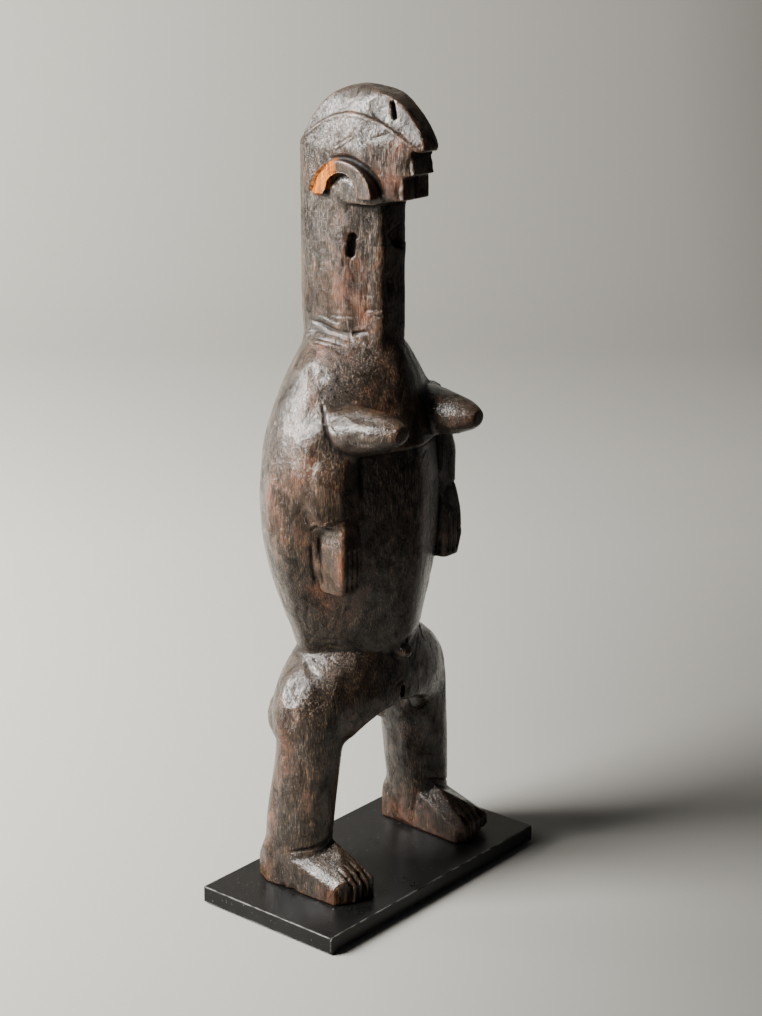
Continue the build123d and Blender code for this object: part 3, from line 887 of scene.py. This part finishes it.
# %% [markdown]
# ### Old hardwood with a handled patina
#
# Soot, oil and skin darkened the wood almost to black. Rubbed ridges show red-brown wood,
# and fine knife strokes hold grey dust. The surface is burnished: it mirrors a window softly
# on the flats, less so in hollows. The fresh break is raw, dull and orange with dark grain.
#
# To the eye that is a dark, patchy colour under a thin uneven wax, so the wood has a low
# gloss of its own and a coat over it. An image could hold the patches, but would stretch
# over the carved forms; noise counted per centimetre of the piece itself does not.

# %% Handled hardwood
def wood_patterns(m, place):
    """The patterns of old wood, each counted across, across and up the grain."""
    return {
        # soot gathers in clouds 33 mm across, and rubbing in patches of 8 mm
        "clouds": grain(m, place, (0.3, 0.3, 0.2), 4),
        "mottle": grain(m, place, (1.3, 1.3, 0.9), 5, 0.65, warp=0.8),
        # dents of the blade are 2.4 mm wide, the leathery crackle of old oil 0.9 mm
        "hammered": grain(m, place, (4.2, 4.2, 3.0), warp=1.2),
        "leather": grain(m, place, (11, 11, 8), rough=0.65, warp=1.5),
        # real fibres are 0.1 mm wide: drawn 0.6 mm wide and 10 mm long, so that they show
        "fibres": grain(m, place, (17, 17, 1), 4, 0.65, warp=0.5),
    }


def dusty_strokes(m, place):
    """Knife strokes in three directions, 6 mm long; 0.4 mm wide, so that they show."""
    strokes = []
    for per_cm, turn, start, stop in (
        ((24, 24, 1.6), (0.95, 0.45, 0), 0.58, 0.68),
        ((22, 22, 1.5), (-0.75, 0.6, 0.4), 0.60, 0.70),
        ((26, 26, 1.8), (1.5, 0.1, 0.9), 0.61, 0.70),
    ):
        stroke = grain(m, place, per_cm, turn=turn, warp=0.5)
        strokes.append(m.add("ValToRGB", {0: stroke}, stops=[(start, 0.0), (stop, 1.0)]))
    lines = m.add("Math", {0: strokes[0], 1: strokes[1]}, operation="MAXIMUM")
    return m.add("Math", {0: lines, 1: strokes[2]}, operation="MAXIMUM")


print("wood patterns ready")

# %% [markdown]
# The colour is built up in the order in which the real surface got it: dark patina, rubbed
# ridges, worn red places, dust in the strokes, soot in the hollows, and the raw break last.
# The dark in the hollows is also painted shade.

# %% Handled hardwood, put together
# a colour mix takes its share on socket 0 and its colours on 6 and 7, and gives output 2
MIX = {"out": 2, "data_type": "RGBA"}


def patinated_wood():
    m = Nodes("hardwood_handled_patina")
    place = millimetres(m)
    ridge, hollow, fresh, rust = (
        m.add("Attribute", attribute_name=name, attribute_type="GEOMETRY", out=2)
        for name in ("ridge", "hollow", "fresh", "rust")
    )
    seen = wood_patterns(m, place)
    clouds, mottle, leather, fibres = (seen[k] for k in ("clouds", "mottle", "leather", "fibres"))
    lines = dusty_strokes(m, place)

    patina = m.add("ValToRGB", {0: clouds}, stops=[(0.36, "#0b0908"), (0.50, "#15110e"), (0.64, "#241a13")])
    thread = m.add("ValToRGB", {0: fibres}, stops=[(0.45, 0.0), (0.70, 0.5)])
    patina = m.add("Mix", {0: thread, 6: patina, 7: colour("#34281c")}, **MIX)

    patches = m.add("ValToRGB", {0: mottle}, stops=[(0.50, 0.0), (0.62, 1.0)])
    broad = m.add("ValToRGB", {0: clouds}, stops=[(0.47, 0.0), (0.56, 0.9)])
    rubbed = m.add("Math", {0: patches, 1: broad}, operation="MULTIPLY")
    rubbed = m.add("Math", {0: ridge, 1: 0.40, 2: rubbed}, operation="MULTIPLY_ADD")
    broken_up = m.add("ValToRGB", {0: leather}, stops=[(0.34, 0.1), (0.60, 1.0)])
    rubbed = m.add("Math", {0: rubbed, 1: broken_up}, operation="MULTIPLY", use_clamp=True)
    patina = m.add("Mix", {0: rubbed, 6: patina, 7: colour("#45291a")}, **MIX)

    spots = m.add("ValToRGB", {0: mottle}, stops=[(0.42, 0.15), (0.56, 1.0)])
    bare = m.add("Math", {0: rust, 1: spots}, operation="MULTIPLY")
    red = m.add("ValToRGB", {0: fibres}, stops=[(0.35, "#26120a"), (0.62, "#552b14")])
    patina = m.add("Mix", {0: bare, 6: patina, 7: red}, **MIX)

    settled = m.add("ValToRGB", {0: mottle}, stops=[(0.36, 0.05), (0.58, 0.7)])
    dust = m.add("Math", {0: lines, 1: settled}, operation="MULTIPLY")
    patina = m.add("Mix", {0: dust, 6: patina, 7: colour("#73593c")}, **MIX)
    # painted shade: the hollows are painted near-black, where soot and old oil also gather
    soot_and_painted_shade = m.add("Math", {0: hollow, 1: 0.8}, operation="MULTIPLY")
    patina = m.add("Mix", {0: soot_and_painted_shade, 6: patina, 7: colour("#080606")}, **MIX)

    # raw wood, with grain 2 mm wide that slants with the split
    raw = grain(m, place, (5, 16, 1.2), 4, turn=(0.75, 0, 0))
    raw = m.add("ValToRGB", {0: raw}, stops=[(0.32, "#351402"), (0.46, "#7d400a"), (0.70, "#ad6c1e")])
    surface = m.add("Mix", {0: fresh, 6: patina, 7: raw}, **MIX)

    rough = m.add("ValToRGB", {0: mottle}, stops=[(0.34, 0.24), (0.66, 0.40)])
    for mask, duller in ((hollow, 0.22), (dust, 0.25), (fresh, 0.35)):
        rough = m.add("Math", {0: mask, 1: duller, 2: rough}, operation="MULTIPLY_ADD")

    relief = m.add("Math", {0: fibres, 1: 0.16}, operation="MULTIPLY")
    for pattern, share in ((lines, -0.16), (leather, 0.30), (seen["hammered"], 0.75)):
        relief = m.add("Math", {0: pattern, 1: share, 2: relief}, operation="MULTIPLY_ADD")
    normal = m.add("Bump", {"Strength": 0.8, "Distance": 0.0006, "Height": relief})

    # the wax is thin where it was rubbed off, and missing in hollows and on the break
    waxed = m.add("ValToRGB", {0: mottle}, stops=[(0.38, 0.20), (0.58, 1.0)])
    for mask in (fresh, hollow):
        without = m.add("Math", {0: 1.0, 1: mask}, operation="SUBTRACT")
        waxed = m.add("Math", {0: waxed, 1: without}, operation="MULTIPLY")
    look = {"Base Color": surface, "Roughness": rough, "Normal": normal, "IOR": 1.48}
    look |= {"Specular IOR Level": 0.15, "Coat Weight": waxed, "Coat Roughness": 0.12}
    look |= {"Coat IOR": 1.45, "Coat Normal": normal}
    m.add("OutputMaterial", {"Surface": m.add("BsdfPrincipled", look)})
    return m.material
wood = patinated_wood()
figure.data.materials.append(wood)
print("wood:", len(wood.node_tree.nodes), "nodes")

# %% [markdown]
# ### Black lacquer
#
# The plate's lacquer is sprayed nitrocellulose over wood: thin, satin and slightly dusty.
# Its arrises are scuffed to grey where the plate has been slid and lifted. The scuffs are
# worked out from the distance to the plate's own edges, so they need no unwrapping.

# %% Black lacquer
def black_lacquer(low, high):
    m = Nodes("black_satin_lacquer")
    place = millimetres(m)
    middle, half = (low + high) / 2, (high - low) / 2
    from_mid = m.add("VectorMath", {0: place, 1: tuple(middle)}, operation="SUBTRACT")
    from_mid = m.add("VectorMath", {0: from_mid}, operation="ABSOLUTE")
    inset = m.add("VectorMath", {0: tuple(half), 1: from_mid}, operation="SUBTRACT")
    dx, dy, dz = m.add("SeparateXYZ", {0: inset}).node.outputs
    # the two smallest distances are both small only along an arris
    pairs = [
        m.add("Math", {0: a, 1: b}, operation="MAXIMUM")
        for a, b in ((dx, dy), (dy, dz), (dx, dz))
    ]
    arris = m.add("Math", {0: pairs[0], 1: pairs[1]}, operation="MINIMUM")
    arris = m.add("Math", {0: arris, 1: pairs[2]}, operation="MINIMUM")
    edge = m.add("ValToRGB", {0: arris}, stops=[(0.0, 1.0), (0.75, 0.0)])
    wobble = grain(m, place, (1.2, 1.2, 5), 5, 0.7)
    patchy = m.add("ValToRGB", {0: wobble}, stops=[(0.42, 0.0), (0.62, 1.0)])
    scuff = m.add("Math", {0: edge, 1: patchy}, operation="MULTIPLY")

    # dust lies in drifts of 33 mm; scratches are drawn half a millimetre wide, to show
    dust = grain(m, place, (0.3, 0.3, 0.3), 5, 0.7)
    motes = grain(m, place, (8, 8, 8), 2, 0.5)
    motes = m.add("ValToRGB", {0: motes}, stops=[(0.70, 0.0), (0.76, 1.0)])
    scratch = grain(m, place, (0.5, 22, 10), turn=(0, 0, 0.5))
    scratch = m.add("ValToRGB", {0: scratch}, stops=[(0.68, 0.0), (0.74, 1.0)])
    shade = m.add("ValToRGB", {0: dust}, stops=[(0.35, "#070707"), (0.7, "#11100f")])
    for mark, share, tint in ((scratch, 0.18, "#5a5a57"), (motes, 0.30, "#8c8a84"), (scuff, 0.55, "#8e8d88")):
        amount = m.add("Math", {0: mark, 1: share}, operation="MULTIPLY")
        shade = m.add("Mix", {0: amount, 6: shade, 7: colour(tint)}, **MIX)

    rough = m.add("ValToRGB", {0: dust}, stops=[(0.3, 0.24), (0.7, 0.40)])
    rough = m.add("Math", {0: scuff, 1: 0.3, 2: rough}, operation="MULTIPLY_ADD")
    orange_peel = grain(m, place, (11, 11, 11))
    normal = m.add("Bump", {"Strength": 0.15, "Distance": 0.0002, "Height": orange_peel})
    look = {"Base Color": shade, "Roughness": rough, "Normal": normal, "Specular IOR Level": 0.20}
    m.add("OutputMaterial", {"Surface": m.add("BsdfPrincipled", look)})
    return m.material


plate.data.materials.append(black_lacquer(low, high))
print("lacquer on:", plate.name)

# %% [markdown]
# ### Drawn steel and wool felt
#
# The pins are drawn steel rod, bright along its length with fine lines from the die. The
# pads are pressed black wool, which gives the eye no highlight, only a soft pale nap at its
# rim. Both stay as the CAD bodies, because their real shape is that plain.

# %% Drawn steel and wool felt
def drawn_steel():
    m = Nodes("drawn_steel_pin")
    # die lines are far finer than a fifth of a millimetre: drawn so, to show at all
    drawn = grain(m, millimetres(m), (50, 50, 1.5), rough=0.5)
    shade = m.add("ValToRGB", {0: drawn}, stops=[(0.3, "#8f8d89"), (0.7, "#b9b7b2")])
    rough = m.add("ValToRGB", {0: drawn}, stops=[(0.3, 0.28), (0.7, 0.46)])
    normal = m.add("Bump", {"Strength": 0.2, "Distance": 0.00005, "Height": drawn})
    look = {"Base Color": shade, "Metallic": 1.0, "Roughness": rough, "Normal": normal}
    m.add("OutputMaterial", {"Surface": m.add("BsdfPrincipled", look)})
    return m.material


def black_felt():
    m = Nodes("black_wool_felt")
    nap = grain(m, millimetres(m), (30, 30, 30), 5, 0.75)
    shade = m.add("ValToRGB", {0: nap}, stops=[(0.3, "#0c0c0d"), (0.7, "#26262a")])
    normal = m.add("Bump", {"Strength": 0.6, "Distance": 0.0003, "Height": nap})
    look = {"Base Color": shade, "Roughness": 0.95, "Normal": normal, "Sheen Weight": 0.35}
    m.add("OutputMaterial", {"Surface": m.add("BsdfPrincipled", look)})
    return m.material


steel, felt = drawn_steel(), black_felt()
for name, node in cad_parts.items():
    if "pin" in name or "pad" in name:
        node.data.materials.clear()
        node.data.materials.append(steel if "pin" in name else felt)
print("materials:", [m.name for m in bpy.data.materials if m.users])

# %% [markdown]
# ## Floor and wall
#
# One sheet of pale paper lies under the doll and curves up behind it, so no line divides
# floor from wall. Two planes would leave that line. Light and shade are painted into the
# paper's colour: it is painted darker towards the front and towards the doll's left, as a
# single window would light it, with a painted shadow beside the doll.

# %% Paper sweep
def sweep():
    """Floor that curves up into a wall; its own x runs sideways and its own y back."""
    half, flat, bend, top = 3.0, 1.1, 0.7, 2.6
    turns = np.linspace(0.15, math.pi / 2, 12)
    profile = [(-2.0, 0.0), (flat, 0.0)]
    profile += [(flat + bend * math.sin(a), bend * (1 - math.cos(a))) for a in turns]
    profile += [(flat + bend, top)]
    verts = [(s, d, h) for d, h in profile for s in (-half, half)]
    faces = [(2 * i, 2 * i + 1, 2 * i + 3, 2 * i + 2) for i in range(len(profile) - 1)]
    sheet = bpy.data.meshes.new("sweep")
    sheet.from_pydata(verts, [], faces)
    sheet.polygons.foreach_set("use_smooth", np.ones(len(faces), bool))
    floor = bpy.data.objects.new("sweep", sheet)
    bpy.context.scene.collection.objects.link(floor)
    floor.rotation_euler = (0, 0, math.radians(-50))
    return floor


def pale_paper():
    m = Nodes("paper_sweep_with_painted_shade")
    sideways, back, _ = m.add("SeparateXYZ", {0: m.add("TexCoord", out=3)}).node.outputs
    # each range gives its socket 1 and 2 in metres, and 3 and 4 as what comes out
    across = m.add("MapRange", {0: sideways, 1: -0.5, 2: 0.55})
    # painted light: the paper is painted pale on one side and darker on the other, as a window's light falls
    # off
    painted_falloff = [(0.0, "#b3b0a8"), (0.5, "#8f8d87"), (0.8, "#7e7c77"), (1.0, "#595753")]
    paper = m.add("ValToRGB", {0: across}, stops=painted_falloff)
    # painted shade: darker towards the front, plus a painted shadow beside the doll towards its left
    painted_shade_front = m.add("MapRange", {0: back, 1: -0.3, 2: 0.5, 3: 0.45, 4: 0.0})
    beside = m.add("MapRange", {0: sideways, 1: 0.0, 2: 0.35, 3: 0.0, 4: 0.5})
    close = m.add("MapRange", {0: back, 1: 0.2, 2: 0.7, 3: 1.0, 4: 0.0})
    painted_shade = m.add("Math", {0: beside, 1: close, 2: painted_shade_front}, operation="MULTIPLY_ADD")
    paper = m.add("Mix", {0: painted_shade, 6: paper, 7: colour("#000000")}, **MIX)
    look = {"Base Color": paper, "Roughness": 0.9}
    m.add("OutputMaterial", {"Surface": m.add("BsdfPrincipled", look)})
    return m.material


floor = sweep()
floor.data.materials.append(pale_paper())
print("sweep:", len(floor.data.polygons), "faces")

# %% [markdown]
# ## Light
#
# One large soft window stands to the figure's right and slightly behind it, and gives the
# long soft highlights on wax. A weak lamp keeps the wall from going dark, and the sky fills
# the shadows a little. Power is in watts, and places are in metres.

# %% Window, wall lamp and sky
def area_light(name, at, aim, size, power, tint):
    data = bpy.data.lights.new(name, "AREA")
    data.shape = "RECTANGLE"
    data.size, data.size_y = size
    data.energy = power
    data.color = tint
    lamp = bpy.data.objects.new(name, data)
    bpy.context.scene.collection.objects.link(lamp)
    lamp.location = at
    lamp.rotation_euler = (Vector(aim) - Vector(at)).to_track_quat("-Z", "Y").to_euler()


area_light("window", (-0.92, 0.56, 0.92), (0.03, 0, 0.16), (0.6, 0.7), 140, (1.0, 0.985, 0.955))
area_light("wall_wash", (-0.55, 1.55, 0.9), (0.6, 1.5, 0.35), (0.7, 0.7), 22, (1.0, 0.98, 0.95))
world = bpy.data.worlds.new("room")
bpy.context.scene.world = world
world.use_nodes = True
sky = world.node_tree.nodes["Background"]
sky.inputs[0].default_value = (0.90, 0.94, 1.0, 1)
sky.inputs[1].default_value = 0.065
print("lights:", sorted(lamp.name for lamp in bpy.data.lights))

# %% [markdown]
# ## Camera
#
# The camera stands a good metre away to the figure's right and front, a little above its
# head, and looks down at its waist. A long lens keeps the upright lines nearly parallel.

# %% Camera
CAMERA_AT, AIM = Vector((-0.74167, -0.63071, 0.49172)), Vector((0.0, -0.00884, 0.18710))
camera_data = bpy.data.cameras.new("camera")
camera_data.lens = 77.95
camera_data.sensor_width = 36.0
camera_data.clip_start, camera_data.clip_end = 0.05, 20
camera = bpy.data.objects.new("camera", camera_data)
bpy.context.scene.collection.objects.link(camera)
camera.location = CAMERA_AT
camera.rotation_euler = (AIM - CAMERA_AT).to_track_quat("-Z", "Y").to_euler()
bpy.context.scene.camera = camera
print("camera:", round((AIM - CAMERA_AT).length, 3), "m away")
